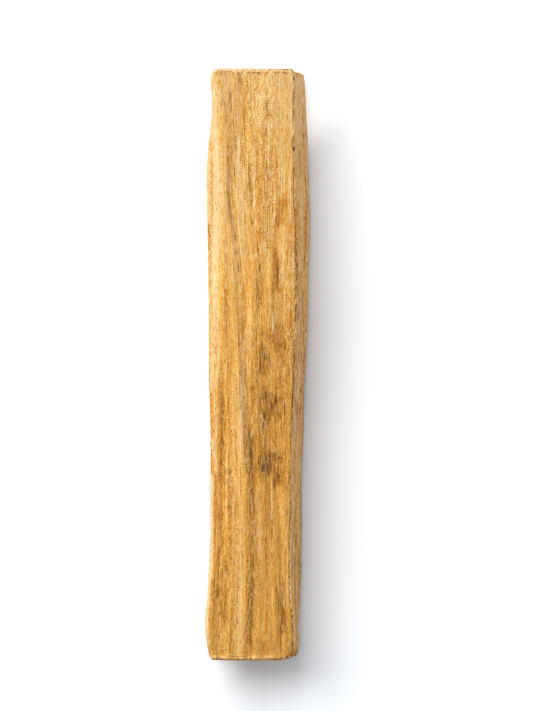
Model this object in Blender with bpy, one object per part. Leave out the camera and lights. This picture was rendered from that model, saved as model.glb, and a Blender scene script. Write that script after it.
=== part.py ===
# Palo santo stick: one billet of wood, split along the grain and sawn off square at both ends.
# X runs across the stick, Y along the grain and Z up from the surface that it lies on.
# The origin is the middle of the stick's outer box, on that surface. Sizes below are in millimetres.

from collections import namedtuple
from math import exp, pi, sqrt, tan

import bmesh
import bpy
from mathutils import Vector, noise

MM = 0.001

# Driving dimensions
LENGTH = 100.0
FOOT_LEVEL = 0.0          # the flat underside
FLAT_MARGIN = 2.2         # the underside stays flat this far in from both of its edges
FLAT_END_MARGIN = 3.0     # and this far in from both ends
ARRIS_RADIUS = 0.35       # the crisp edge between the top and the right face
SHOULDER_RADIUS = 1.1     # the soft edges of the slope on the upper left
FOOT_RADIUS = 0.6
TOP_CROWN = 0.25          # the top swells this much in the middle of its width

# Sections of the stick, from the near end to the far end. Each gives the place along the stick,
# then the widest point on the left, the width and drop of the left slope, the right arris,
# the right face's foot, and how high the top stands on the left and on the right.
Section = namedtuple("Section", "along left slope_width slope_drop arris foot top_left top_right")
SECTIONS = (
    Section(-50.0, -8.45, 0.8, 1.2, 6.30, 7.15, 12.2, 11.8),
    Section(-47.0, -8.95, 0.8, 1.2, 6.20, 7.12, 12.2, 11.9),
    Section(-44.5, -9.12, 0.8, 1.2, 6.15, 7.12, 12.2, 11.9),
    Section(-38.0, -8.53, 0.8, 1.1, 5.75, 7.32, 12.1, 12.0),
    Section(-30.0, -8.02, 0.9, 1.2, 5.75, 7.52, 12.0, 12.1),
    Section(-22.0, -7.98, 1.0, 1.3, 5.85, 7.50, 12.1, 12.2),
    Section(-13.0, -8.00, 1.2, 1.5, 5.90, 7.80, 12.2, 12.2),
    Section(-4.0, -8.13, 1.5, 1.7, 6.15, 8.18, 12.5, 12.2),
    Section(6.0, -8.17, 1.8, 1.8, 6.40, 8.66, 12.7, 12.4),
    Section(17.0, -8.46, 2.0, 1.8, 6.70, 8.85, 12.8, 12.5),
    Section(26.0, -8.67, 2.0, 1.7, 6.45, 9.00, 12.8, 12.6),
    Section(33.0, -8.62, 1.9, 1.6, 6.25, 8.70, 12.7, 12.6),
    Section(44.0, -7.74, 1.5, 1.4, 6.25, 8.22, 12.6, 12.6),
    Section(50.0, -8.10, 1.3, 1.2, 6.40, 7.96, 12.6, 12.5),
)
LEFT_UNDERCUT = 0.7       # the left face leans in by this much on its way down
RIGHT_KICK = 0.5          # the right face's foot turns in by this much
FOOT_TURN = 1.0           # below this level

# Points of one ring round the stick: on the flats, then on each rounded corner
BASE_CUTS, LEFT_CUTS, SLOPE_CUTS, TOP_CUTS, RIGHT_CUTS = 12, 13, 2, 27, 14
FOOT_CUTS, SHOULDER_CUTS, ARRIS_CUTS = 2, 3, 2

# Rings along the stick
RING_STEP = 2.35
END_STEPS = (0.0, 0.35, 0.9, 1.7)
END_BLEND = 9.0           # how far the shape of an end reaches along the stick

# The sawn ends: how far each falls short at places across the stick, seen from above.
# Lower down they are plain, and lean back a little towards the foot.
FAR_EDGE = (
    (-8.2, 1.3), (-7.9, 0.75), (-7.1, 0.5), (-6.7, 0.0), (-4.8, 0.0), (-4.2, 0.2),
    (5.3, 0.25), (6.0, 0.4), (6.4, 0.8), (6.7, 1.0), (7.1, 0.45), (7.6, 0.4), (8.0, 0.7),
)
NEAR_EDGE = (
    (-8.6, 1.1), (-8.2, 0.6), (-7.6, 0.3), (-6.4, 0.05), (-2.0, 0.0), (3.0, 0.05),
    (5.4, 0.3), (6.4, 0.7), (7.2, 1.4),
)
END_LEAN = 0.4
PLAIN_BELOW, EDGE_ABOVE = 5.0, 10.0
PLAIN_END = 0.25
RIM = 0.28
CAP_RINGS = (0.93, 0.82, 0.6, 0.3)
SAW_RELIEF = 0.10
SAW_PITCH = 1.9

# Relief of the split faces: how deep it is, and how far apart its ridges are across and along
Relief = namedtuple("Relief", "depth across along seed")
RELIEF = (
    Relief(0.30, 3.4, 42.0, 3.7),
    Relief(0.20, 1.5, 17.0, 11.3),
    Relief(0.09, 0.9, 7.0, 23.9),
)

# Long hollows in the top face, each a run of places (along, across), with its depth and width
Hollow = namedtuple("Hollow", "depth width run")
HOLLOWS = (
    Hollow(0.42, 0.75, ((36, -4.4), (26, -4.1), (14, -3.1), (2, -2.4), (-8, -2.0))),
    Hollow(0.50, 0.70, ((-6, -1.9), (-14, -1.2), (-24, -1.0), (-38, -1.0), (-50, -1.5))),
    Hollow(0.30, 0.65, ((36, -1.2), (22, -0.9), (14, 0.1), (6, 0.3))),
    Hollow(0.34, 0.80, ((-2, -6.0), (-12, -5.9), (-24, -6.6), (-42, -6.5))),
    Hollow(0.28, 0.60, ((-20, 1.9), (-32, 2.0), (-44, 1.3))),
    Hollow(0.30, 0.55, ((-28, 3.9), (-38, 4.1), (-48, 3.8))),
)
# The broad hollow in the right half of the top: centre (along, across), half lengths and depth
SCOOP_CENTRE, SCOOP_REACH, SCOOP_DEPTH = (-9.0, 2.4), (17.0, 3.6), 0.45

WOOD = {"Base Color": (0.62, 0.36, 0.12, 1.0), "Roughness": 0.78, "Metallic": 0.0}


def blend(share):
    """0 to 1 with no kink at either end."""
    share = min(max(share, 0.0), 1.0)
    return share * share * (3 - 2 * share)


def between(places, at):
    """The value at a place, on a smooth line through (place, value) pairs in rising order."""
    if at <= places[0][0]:
        return places[0][1]
    for index in range(len(places) - 1):
        start, end = places[index], places[index + 1]
        if at <= end[0]:
            before = places[max(index - 1, 0)]
            after = places[min(index + 2, len(places) - 1)]
            span = end[0] - start[0]
            t = (at - start[0]) / span
            slope_in = (end[1] - before[1]) / (end[0] - before[0]) * span
            slope_out = (after[1] - start[1]) / (after[0] - start[0]) * span
            return (
                (2 * t**3 - 3 * t**2 + 1) * start[1] + (t**3 - 2 * t**2 + t) * slope_in
                + (3 * t**2 - 2 * t**3) * end[1] + (t**3 - t**2) * slope_out
            )
    return places[-1][1]


def section_at(along):
    values = [
        between([(s.along, getattr(s, name)) for s in SECTIONS], along)
        for name in Section._fields[1:]
    ]
    return Section(along, *values)


def corner_arc(before, corner, after, radius, cuts):
    """Points of a rounded corner, from one straight side to the next."""
    to_before, to_after = before - corner, after - corner
    half_angle = to_before.angle(to_after) / 2
    set_back = min(radius / tan(half_angle), 0.45 * to_before.length, 0.45 * to_after.length)
    start = corner + to_before.normalized() * set_back
    end = corner + to_after.normalized() * set_back
    points = []
    for step in range(cuts + 1):
        t = step / cuts
        points.append(start * (1 - t) ** 2 + corner * 2 * t * (1 - t) + end * t**2)
    return points


def ring_outline(section):
    """The outline across the stick, without relief: corners rounded, sides cut into short runs."""
    left, foot, slope_foot = section.left, section.foot, section.top_left - section.slope_drop
    shoulder = left + section.slope_width
    corners = (
        (Vector((left + LEFT_UNDERCUT, FOOT_LEVEL)), FOOT_RADIUS, FOOT_CUTS, LEFT_CUTS),
        (Vector((left, slope_foot)), SHOULDER_RADIUS, SHOULDER_CUTS, SLOPE_CUTS),
        (Vector((shoulder, section.top_left)), SHOULDER_RADIUS, SHOULDER_CUTS, TOP_CUTS),
        (Vector((section.arris, section.top_right)), ARRIS_RADIUS, ARRIS_CUTS, RIGHT_CUTS),
        (Vector((foot, FOOT_TURN)), FOOT_RADIUS, FOOT_CUTS, 1),
        (Vector((foot - RIGHT_KICK, FOOT_LEVEL)), FOOT_RADIUS, FOOT_CUTS, BASE_CUTS),
    )
    arcs = []
    for i, (corner, radius, cuts, _) in enumerate(corners):
        after = corners[(i + 1) % len(corners)][0]
        arcs.append(corner_arc(corners[i - 1][0], corner, after, radius, cuts))
    outline = []
    for i, arc in enumerate(arcs):
        outline += arc
        start, end = arc[-1], arcs[(i + 1) % len(arcs)][0]
        cuts = corners[i][3]
        outline += [start.lerp(end, step / cuts) for step in range(1, cuts)]
    return outline


def crowned(point, section):
    """The top's slight swell across its width."""
    middle = (section.left + section.slope_width + section.arris) / 2
    half = (section.arris - section.left - section.slope_width) / 2
    off = (point.x - middle) / half
    on_top = blend((point.y - 0.75 * section.top_right) / (0.2 * section.top_right))
    return point + Vector((0, TOP_CROWN * max(0.0, 1 - off * off) * on_top))


def relief_depth(place, on_top):
    """How far the surface is pushed in at a place, in millimetres."""
    depth = 0.0
    for relief in RELIEF:
        spot = Vector((place.x / relief.across, place.y / relief.along, place.z / relief.across))
        depth += relief.depth * noise.noise(spot + Vector((relief.seed,) * 3))
    if on_top > 0:
        for hollow in HOLLOWS:
            run = sorted(hollow.run)
            if not run[0][0] - 4 < place.y < run[-1][0] + 4:
                continue
            off = (place.x - between(run, place.y)) / hollow.width
            ends = blend((place.y - run[0][0] + 4) / 8) * blend((run[-1][0] + 4 - place.y) / 8)
            depth += hollow.depth * exp(-off * off) * ends * on_top
        off_along = (place.y - SCOOP_CENTRE[0]) / SCOOP_REACH[0]
        off_across = (place.x - SCOOP_CENTRE[1]) / SCOOP_REACH[1]
        depth += SCOOP_DEPTH * exp(-off_along**2 - off_across**2) * on_top
    return depth


def end_shift(point, section, far):
    """How far back from the end plane a point of an end's outline lies."""
    edge = max(between(FAR_EDGE if far else NEAR_EDGE, point.x), 0.0)
    upper = blend((point.y - PLAIN_BELOW) / (EDGE_ABOVE - PLAIN_BELOW))
    up = min(point.y / section.top_left, 1.0)
    return PLAIN_END + (edge - PLAIN_END) * upper + END_LEAN * (1 - up)


def ring_places():
    """Places of the rings along the stick, closer together near the ends."""
    half = LENGTH / 2
    near = [-half + step for step in END_STEPS]
    count = round((LENGTH - 2 * END_STEPS[-1]) / RING_STEP)
    first, last = near[-1], half - END_STEPS[-1]
    middle = [first + (last - first) * i / count for i in range(1, count)]
    return near + middle + [-place for place in reversed(near)]


def flatness(point, section, to_end):
    """1 where the underside is flat, falling to 0 at its edges and at both ends."""
    edge = min(point.x - section.left - LEFT_UNDERCUT, section.foot - RIGHT_KICK - point.x)
    return min(blend(edge / FLAT_MARGIN), blend(to_end / FLAT_END_MARGIN))


def ring_points(nominal):
    """The ring of points at one place along the stick, in millimetres."""
    section = section_at(nominal)
    half = LENGTH / 2
    outline = [crowned(point, section) for point in ring_outline(section)]
    centre = sum(outline, Vector((0, 0))) / len(outline)
    at_far = blend(1 - (half - nominal) / END_BLEND)
    at_near = blend(1 - (half + nominal) / END_BLEND)
    to_end = min(half - nominal, half + nominal)
    worn = RIM * (1 - blend(to_end / END_STEPS[1]))
    points = []
    for index, point in enumerate(outline):
        before, after = outline[index - 1], outline[(index + 1) % len(outline)]
        side = (after - before).normalized()
        outward = Vector((-side.y, side.x))
        along = nominal - at_far * end_shift(point, section, far=True)
        along += at_near * end_shift(point, section, far=False)
        on_top = blend((point.y - 0.86 * section.top_right) / (0.1 * section.top_right))
        depth = relief_depth(Vector((point.x, along, point.y)), on_top)
        if point.y < 0.01:
            depth = abs(depth) * (1 - flatness(point, section, to_end))
        moved = point - outward * depth
        moved += (centre - moved).normalized() * worn
        points.append(Vector((moved.x, along, max(moved.y, FOOT_LEVEL))))
    return points


def add_cap(mesh, ring, far):
    """Closes an end with a sawn face: smaller and smaller rings, with shallow saw marks."""
    half = LENGTH / 2
    section = section_at(half if far else -half)
    centre = sum((vert.co for vert in ring), Vector()) / len(ring)
    outer = ring
    for share in CAP_RINGS:
        inner = []
        for vert in ring:
            place = centre.lerp(vert.co, share)
            back = end_shift(Vector((place.x, place.z)), section, far)
            back += SAW_RELIEF * abs(noise.noise(Vector((place.x * 0.2, half, place.z / SAW_PITCH))))
            place.y = half - back if far else back - half
            inner.append(mesh.verts.new(place))
        bridge(mesh, outer, inner)
        outer = inner
    hub = mesh.verts.new(sum((vert.co for vert in outer), Vector()) / len(outer))
    for index, vert in enumerate(outer):
        mesh.faces.new((vert, outer[(index + 1) % len(outer)], hub))


def bridge(mesh, first, second):
    for index in range(len(first)):
        after = (index + 1) % len(first)
        mesh.faces.new((first[index], first[after], second[after], second[index]))


def seat_on_origin(mesh):
    """Moves the mesh so that the middle of its box is over the origin, and turns it into metres."""
    places = [vert.co.copy() for vert in mesh.verts]
    middle = [(min(p[axis] for p in places) + max(p[axis] for p in places)) / 2 for axis in (0, 1)]
    for vert in mesh.verts:
        vert.co = (vert.co - Vector((middle[0], middle[1], 0))) * MM


def wood_material():
    material = bpy.data.materials.new("palo_santo_wood")
    material.use_nodes = True
    shader = material.node_tree.nodes["Principled BSDF"]
    for socket, value in WOOD.items():
        shader.inputs[socket].default_value = value
    return material


def build_stick():
    mesh = bmesh.new()
    rings = [[mesh.verts.new(point) for point in ring_points(place)] for place in ring_places()]
    for first, second in zip(rings, rings[1:]):
        bridge(mesh, first, second)
    add_cap(mesh, rings[0], far=False)
    add_cap(mesh, rings[-1], far=True)
    seat_on_origin(mesh)
    bmesh.ops.recalc_face_normals(mesh, faces=mesh.faces)
    data = bpy.data.meshes.new("palo_santo_stick")
    mesh.to_mesh(data)
    mesh.free()
    stick = bpy.data.objects.new("palo_santo_stick", data)
    bpy.context.scene.collection.objects.link(stick)
    data.materials.append(wood_material())
    data.shade_smooth()
    data.set_sharp_from_angle(angle=pi / 5)
    return stick


for old in list(bpy.data.objects):
    bpy.data.objects.remove(old)
build_stick()
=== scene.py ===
import math
import random

import bpy
import numpy as np
from mathutils import Matrix, Vector


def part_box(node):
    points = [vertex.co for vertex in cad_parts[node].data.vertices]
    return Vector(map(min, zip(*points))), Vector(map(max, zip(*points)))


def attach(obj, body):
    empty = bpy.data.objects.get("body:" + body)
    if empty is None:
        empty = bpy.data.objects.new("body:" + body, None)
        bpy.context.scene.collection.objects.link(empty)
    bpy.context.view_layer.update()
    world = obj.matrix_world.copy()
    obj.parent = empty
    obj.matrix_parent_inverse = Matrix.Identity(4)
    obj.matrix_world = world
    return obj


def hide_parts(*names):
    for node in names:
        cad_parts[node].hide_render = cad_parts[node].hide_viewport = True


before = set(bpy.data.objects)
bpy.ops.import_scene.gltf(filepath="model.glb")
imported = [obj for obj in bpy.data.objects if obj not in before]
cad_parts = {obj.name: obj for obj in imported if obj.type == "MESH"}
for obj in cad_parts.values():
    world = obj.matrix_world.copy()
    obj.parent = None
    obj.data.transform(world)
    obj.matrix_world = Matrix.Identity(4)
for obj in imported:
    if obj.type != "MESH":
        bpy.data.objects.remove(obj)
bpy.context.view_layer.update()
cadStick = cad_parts["palo_santo_stick"]
mm = 0.001

# The stick: lengths in millimetres, x across and y along the grain, seen from above
stick = {
    "halfLength": 50.0,
    "mergeWithin": 0.001,     # triangle corners this close are one point
    "voxel": 0.15,            # size of the wood's mesh across the grain
    "grainStretch": 4.0,      # and how many times longer it is along the grain
    "smoothing": (0.5, 2),    # factor and repeats
    "photoShift": -0.05,      # from the photograph's middle line to the part's
    "topLevel": 12.5,
    "cameraHeight": 700.0,    # above the top face
    "broadRidge": 0.06,       # height of ridges about 1.6 mm apart
    "fineRidge": 0.06,        # about 0.7 mm apart
    "bundleStep": 0.06,       # of the steps between bundles of fibres
    "poreDepth": 0.08,
    "edgeWear": 0.40,         # depth of the notches along the long edges and rims
    "burr": 0.22,             # height of the lumps that the saw left along the rims
    "rimCuts": (0.12, 0.25, 0.4, 0.55, 0.75, 1.0, 1.3),     # extra rows of points, this far from each end
    "endSpan": (47.5, 49.5),  # between these the ends are drawn out more and more
    # how far the ends are drawn out, by the place across
    "nearReach": ((-8.7, 0.85), (-8.0, 0.65), (-7.35, 0.25), (-6.7, 0.14), (-5, 0.20), (-3, 0.40), (-1, 0.4),
                  (2, 0.25), (3.5, 0.08), (4.6, 0.0), (5.4, 0.02), (6.2, 0.24), (6.8, 0.08), (7.5, 0.1)),
    "farReach": ((-8.1, 0.30), (-7.35, 0.32), (-6.7, 0.22), (-4, 0.18), (-1, 0.18), (0, 0.1), (2, 0.07),
                 (3.5, 0.19), (5.4, 0.2), (6.15, 0.5), (6.8, 0.27), (7.5, 0.45)),
}

# Lines that the grain follows on the top: each is (along, across) from the far end to the near end
grainLines = (
    ((50, -8.2), (30, -8.4), (0, -8.2), (-20, -8.0), (-38, -8.4), (-50, -8.5)),
    ((50, -6.0), (25, -5.7), (10, -5.3), (0, -5.0), (-10, -5.8), (-25, -6.2), (-50, -6.7)),
    ((50, -4.6), (38, -4.6), (26, -4.3), (12, -2.9), (0, -2.3), (-20, -1.1), (-40, -1.1), (-50, -1.5)),
    ((50, -1.7), (33, -1.4), (21, -0.9), (12, 0.3), (0, 0.7), (-12, 1.1), (-27, 1.5), (-50, 1.5)),
    ((50, 3.9), (27, 3.6), (15, 3.2), (0, 3.4), (-20, 3.1), (-35, 3.9), (-50, 3.9)),
    ((50, 6.4), (26, 6.4), (17, 6.7), (0, 6.2), (-15, 5.9), (-36, 5.8), (-50, 6.3)),
)

# Streaks on the faces that show from above, by kind. Each has its half width, its strength and its run of
# (along, across), which starts at either end.
streaks = {
    "smoke": (
        (0.30, 0.50, (-5.6, 3.2), (-6.3, 3.25)),
        (0.30, 0.50, (-6.7, 2.1), (-7.5, 2.6)),
        (0.20, 0.60, (-4.9, 1.45), (-6.2, 1.3)),
        (0.20, 0.55, (-5.8, 4.45), (-8.0, 4.6)),
        (0.35, 0.55, (-8.4, 1.2), (-9.4, 1.6)),
        (0.28, 0.95, (-15.8, 1.4), (-16.6, 1.9)),
        (0.55, 0.80, (-16.8, 1.3), (-17.8, 0.9)),
        (0.45, 0.60, (-15.2, 2.9), (-15.9, 3.6)),
        (0.15, 0.60, (-14.9, 4.2), (-15.6, 4.2)),
        (0.35, 0.50, (-18.6, 3.1), (-18.9, 3.7)),
        (0.30, 0.60, (-19.4, 2.8), (-20.6, 2.8)),
        (0.60, 0.40, (-12.0, -1.1), (-15.4, -1.1)),
        (1.60, 0.30, (-15.0, 2.0), (-18.5, 1.6)),
        (1.50, 0.10, (-5.0, 2.4), (-9.0, 2.2)),
    ),
    # light: the same hue made paler; painted light over groove walls that the relief leaves in shade, as the
    # long one along -1.9 across, and paler wood
    "light": (
        (0.35, 0.42, (-21, -5.0), (-29, -5.0)),
        (0.35, 0.48, (-30, 5.2), (-38, 5.3), (-46, 5.6)),
        (0.30, 0.42, (-13, 0.1), (-21, 0.1)),
        (0.30, 0.45, (-38, 0.1), (-46, 0.1)),
        (0.40, 0.42, (-38, 2.6), (-46, 2.8)),
        (0.40, 0.45, (6.5, 3.3), (-2, 3.3)),
        (0.40, 0.42, (17, -6.5), (8, -6.5)),
        (0.25, 0.42, (27, 0.1), (18, 0.1)),
        (0.40, 0.36, (38, -4.9), (28, -4.7)),
        (0.45, 0.60, (-19, -1.95), (-34, -1.9), (-48, -2.1)),
        (0.35, 0.42, (-39, 5.6), (-47, 5.8)),
        (0.45, 0.52, (24, -4.8), (19, -4.3), (13, -3.8), (8, -3.5), (-2, -3.3)),
        (0.60, 0.58, (27, -1.9), (17, -1.2), (7, -1.2)),
        (0.35, 0.45, (-20, 1.1), (-46, 1.1)),
    ),
    "olive": (
        (0.42, 0.4, (46.5, -4.6), (42, -4.7), (38, -4.6), (30, -4.4), (24, -3.9), (21, -3.5), (17, -3.1),
         (12, -2.5)),
        (0.24, 0.8, (29.5, -5.05), (26.5, -4.7), (22.7, -4.0), (18.9, -3.05), (16.5, -2.75)),
        (0.22, 0.55, (16.5, -2.75), (14.3, -2.4), (8, -2.3), (2.4, -2.25)),
        (0.40, 0.5, (12, -2.5), (6, -2.4), (1, -2.15), (-4, -1.8), (-10, -1.6), (-15, -1.3)),
        (0.48, 0.80, (-11, -1.2), (-14, -1.1), (-19, -0.75), (-25, -0.6), (-30, -0.5), (-34, -0.6)),
        (0.42, 0.75, (-34, -0.6), (-42, -0.9), (-50, -1.3)),
        (0.40, 0.6, (33, -1.2), (29, -1.1), (25, -0.9), (21, -0.5), (18.5, 0.0)),
        (0.60, 0.48, (18.5, 0.3), (15, 0.5), (12, 0.4), (8, 0.3), (4, 0.4), (0, 0.6), (-2, 0.5)),
        (0.55, 0.6, (-4, 1.2), (-7, 1.8), (-12, 1.3), (-16, 1.3)),
        (0.60, 0.5, (-18.5, 1.6), (-22, 2.0), (-27, 2.1)),
        (0.35, 0.3, (-30, 2.0), (-36, 1.9), (-40, 1.6)),
        (0.50, 0.5, (20, 6.2), (17, 6.5), (12, 6.7), (8, 6.7)),
        (0.40, 0.5, (-18, -4.7), (-22, -4.6), (-27, -4.7), (-35, -4.6)),
        (0.50, 0.4, (-33, 2.8), (-42, 2.9)),
        (0.60, 0.5, (-33, -5.6), (-37, -6.0), (-43, -5.7)),
        (0.35, 0.5, (12, 2.6), (6, 2.3)),
        (0.50, 0.45, (45, 1.8), (41, 1.4), (38.5, 1.2)),
        (0.35, 0.4, (-27, 3.6), (-36, 3.9)),
        (0.9, 0.3, (48, -2.2), (45, -2.0), (40, -1.8)),
        (0.8, 0.30, (43, 1.5), (35, 1.8), (26, 1.7)),
        (1.6, 0.45, (6.5, 3.8), (2.5, 4.0)),
        (1.0, 0.75, (3.5, 0.5), (-1.5, 0.8)),
        (1.3, 0.55, (-12.5, 0.0), (-19.0, 0.4)),
        (1.1, 0.75, (-5.6, 3.2), (-9, 3.2)),
        (1.6, 0.55, (-5.2, 2.2), (-9.5, 2.0)),
        (0.8, 0.60, (-7.5, 1.0), (-11.5, 1.4)),
        (1.3, 0.30, (-11, 2.2), (-15, 2.4)),
        (1.2, 0.7, (-15.2, 2.0), (-18.2, 1.6)),
        (0.8, 0.75, (-17.5, 3.2), (-19.8, 3.6)),
        (0.45, 0.7, (-36.7, 4.2), (-45, 4.3)),
        (0.45, 0.5, (-5, -6.0), (-11, -6.0), (-20, -5.9)),
        (0.5, 0.55, (-4, -0.9), (-10, -0.8), (-17, -0.7), (-24, -0.7)),
        (0.4, 0.5, (7, 0.1), (-3, 0.1)),
        (0.3, 0.7, (-3, 0.8), (-12, 0.7)),
        (0.4, 0.5, (-21, 2.6), (-29, 2.6)),
        (0.4, 0.4, (-22, -6.1), (-30, -6.4), (-46, -6.5)),
        (0.4, 0.4, (7, 5.6), (-2, 5.6)),
        (0.3, 0.4, (17, 5.7), (8, 5.7)),
        (0.5, 0.4, (38, -0.8), (28, -0.8)),
        (0.4, 0.5, (27, 1.7), (18, 1.7)),
        (0.9, 0.16, (-37, -7.3), (-48, -7.4)),
        (0.5, 0.5, (-37, 4.2), (-45, 4.4)),
        (1.0, 0.16, (38, 0.1), (15, 0.2)),
        (1.3, 0.30, (5, 5.0), (-12, 4.9)),
        (0.9, 0.32, (6, 0.3), (-12, 0.1)),
        (0.7, 0.45, (-14, -0.3), (-41, -0.3)),
        (1.0, 0.34, (-21, 2.6), (-33, 2.6)),
        (0.4, 0.55, (17.2, 3.2), (15.4, 3.4), (13.4, 3.2)),
    ),
    "yellow": (
        (0.22, 1.0, (-6, -5.3), (-20, -5.3), (-34, -5.2)),
        (0.35, 0.4, (32, -3.6), (23, -3.6), (14, -2.2), (6, -1.4), (0, -0.9)),
        (0.50, 1.0, (21.0, 1.8), (17, 2.0), (13.5, 1.9)),
        (0.50, 0.9, (23, 4.2), (17.6, 4.4)),
        (0.18, 0.9, (-11, 2.35), (-25, 2.4)),
        (0.45, 0.6, (0, -4.0), (-10, -4.2), (-22, -4.0)),
        (0.30, 0.6, (24, -6.2), (10, -6.0)),
        (0.40, 0.2, (-24, 0.4), (-34, 0.3)),
        (0.30, 0.5, (-30, 2.7), (-42, 2.7)),
        (0.55, 0.8, (-14, -2.8), (-40, -2.6)),
        (1.1, 0.5, (3, -2.7), (-12, -2.9)),
        (1.2, 0.6, (-26, -2.9), (-49, -3.0)),
        (1.4, 0.6, (-22, 4.9), (-42, 4.9)),
    ),
    "umber": (
        (0.35, 0.55, (-20, -0.85), (-29, -0.85)),
        (0.42, 0.80, (-29, -0.9), (-38, -0.95)),
        (0.40, 0.45, (-38, -1.0), (-47, -1.4)),
        (0.28, 0.45, (17.0, 3.3), (15.4, 3.5), (13.8, 3.2)),
        (0.9, 0.6, (-15.5, 2.4), (-18, 1.6)),
        (1.0, 0.18, (-5.8, 2.4), (-9, 2.2)),
        (0.5, 0.55, (-15.2, 0.5), (-17.6, 0.3)),
        (0.5, 0.50, (5.2, 1.0), (3.6, 2.6), (3.2, 4.4)),
        (0.13, 0.9, (38, -4.97), (30, -4.93)),
        (0.12, 0.8, (34, -3.9), (30, -3.85)),
        (0.18, 0.9, (22.4, -3.7), (21.2, -3.65)),
        (0.15, 0.8, (19.4, -3.7), (18.6, -3.65)),
        (0.14, 0.7, (17, -3.4), (16, -3.2)),
        (0.20, 0.7, (46, -4.55), (43, -4.5)),
        (0.13, 0.8, (45.2, -5.9), (44.3, -5.95)),
        (0.13, 0.7, (44, -5.5), (41, -5.3)),
        (0.18, 0.8, (49.2, -2.9), (46.8, -2.85)),
        (0.14, 0.6, (38, -2.6), (35.4, -2.4)),
        (0.16, 0.7, (34, -2.3), (33, -2.25)),
        (0.14, 0.6, (33, -1.45), (30.2, -1.35)),
        (0.12, 0.8, (33, -0.15), (30.8, 0)),
        (0.12, 0.9, (20.5, 0), (17.5, 0.02)),
        (0.24, 0.8, (16.5, 0.25), (14.5, 0.3)),
        (0.20, 0.8, (13.5, 0), (10, 0.1)),
        (0.26, 0.8, (12, 0.4), (10.2, 0.3)),
        (0.14, 0.8, (5.6, -0.2), (4.4, -0.2)),
        (0.14, 0.7, (3.8, -0.9), (3.2, -0.6)),
        (0.30, 0.8, (2, 0.9), (1, 1.3)),
        (0.26, 0.8, (1.2, 1.9), (0.2, 2.1)),
        (0.32, 0.8, (0.2, 0.5), (-1.5, 0.3)),
        (0.16, 0.7, (-2.4, -0.25), (-3.1, -0.2)),
        (0.20, 0.8, (-1, -2.2), (-2.2, -2.1), (-3, -2.1)),
        (0.16, 0.8, (-5, 1.5), (-5.6, 1.35)),
        (0.16, 0.7, (-5.2, 0.9), (-6, 0.9)),
        (0.16, 0.8, (-6, 0.4), (-6.5, 0.5)),
        (0.16, 0.8, (-6, 1.9), (-6.4, 2.0)),
        (0.20, 1.0, (-5.6, 3.2), (-6.1, 3.15)),
        (0.22, 0.8, (-7.1, 2.5), (-7.7, 2.6)),
        (0.22, 0.9, (-8.5, 1.1), (-9.2, 1.2)),
        (0.14, 0.9, (-8.6, 0.6), (-10.3, 1.0)),
        (0.15, 1.0, (-1.0, 5.4), (-1.35, 5.4)),
        (0.13, 0.8, (-4.2, 5.95), (-6.4, 5.95)),
        (0.13, 0.8, (-10, 5.98), (-12.2, 6.02)),
        (0.15, 0.9, (1.4, 6.2), (0.9, 6.25)),
        (0.13, 0.7, (-27, 5.85), (-36, 5.85)),
        (0.14, 0.9, (-46.3, 5.95), (-48.6, 6.1)),
        (0.13, 0.7, (12, -5.2), (6, -5.2), (0, -5.0), (-1, -5.0)),
        (0.15, 0.7, (18, -5.5), (16, -5.5)),
        (0.15, 0.5, (-6, -5.8), (-8.2, -5.75)),
        (0.18, 0.5, (-9.2, -6.0), (-10, -5.9)),
        (0.15, 0.5, (-10, -5.55), (-12.2, -5.65)),
        (0.16, 0.5, (-12.5, -5.75), (-14, -5.8)),
        (0.16, 0.8, (-15, -1.0), (-18.4, -0.95)),
        (0.15, 0.8, (-18.2, -1.4), (-20, -1.2)),
        (0.18, 1.0, (-20.4, -1.0), (-22.4, -1.05)),
        (0.15, 0.9, (-22.8, -1.15), (-25.4, -1.25)),
        (0.22, 0.7, (-15.2, 1.7), (-16.6, 1.9)),
        (0.30, 0.7, (-16.8, 1.1), (-17.9, 1.1)),
        (0.28, 0.65, (-18.4, 3.3), (-19, 3.5)),
        (0.16, 0.8, (-15.2, 3.1), (-16, 3.4)),
        (0.15, 0.8, (-15.9, 4.1), (-16.6, 4.15)),
        (0.16, 0.9, (-20, 2.85), (-20.8, 2.85)),
        (0.13, 0.8, (-23.6, 5.75), (-26, 5.6)),
        (0.15, 0.9, (-25, 5.1), (-25.6, 5.15)),
        (0.14, 0.8, (-31.4, 4.9), (-32, 4.95)),
        (0.18, 0.8, (-29.4, -1.2), (-30.6, -1.0)),
        (0.18, 0.8, (-32, -0.85), (-34, -0.8)),
        (0.20, 0.8, (-36, -1.2), (-39.5, -1.2)),
        (0.18, 0.7, (-40.8, -1.4), (-43.5, -1.5)),
        (0.22, 0.9, (-38, 3.2), (-40, 3.7), (-41.5, 4.3), (-44.5, 4.1), (-46.5, 4.0)),
        (0.18, 0.7, (-45, -1.5), (-47, -1.6)),
        (0.14, 0.8, (-29.2, -4.75), (-30.4, -4.8)),
        (0.16, 0.9, (-33.8, -5.0), (-35.2, -5.0)),
        (0.15, 0.8, (-31.1, -6.3), (-31.7, -6.6)),
        (0.15, 0.8, (-33, -6.65), (-33.7, -6.6)),
        (0.24, 0.9, (-38.3, -6.5), (-38.8, -6.7)),
        (0.16, 0.8, (-40.5, 3.5), (-41.6, 3.6)),
        (0.18, 0.8, (-43.5, 4.2), (-45, 4.0)),
        (0.26, 0.9, (-44.8, 4.0), (-46, 4.0)),
        (0.20, 0.8, (-47, 3.9), (-48.4, 3.85)),
        (0.14, 0.8, (28.5, 1.6), (27.9, 1.6)),
        (0.16, 0.7, (35.4, 1.15), (34.8, 1.1)),
        (0.14, 0.7, (32, 1.85), (31, 1.85)),
        (0.20, 1.0, (37.6, 5.9), (36.7, 5.85)),
        (0.16, 0.7, (19.2, 2.9), (18.2, 2.9)),
        (0.15, 0.8, (15.5, 2.85), (15, 2.8)),
        (0.20, 0.9, (13.6, 2.6), (12.3, 2.55)),
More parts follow.
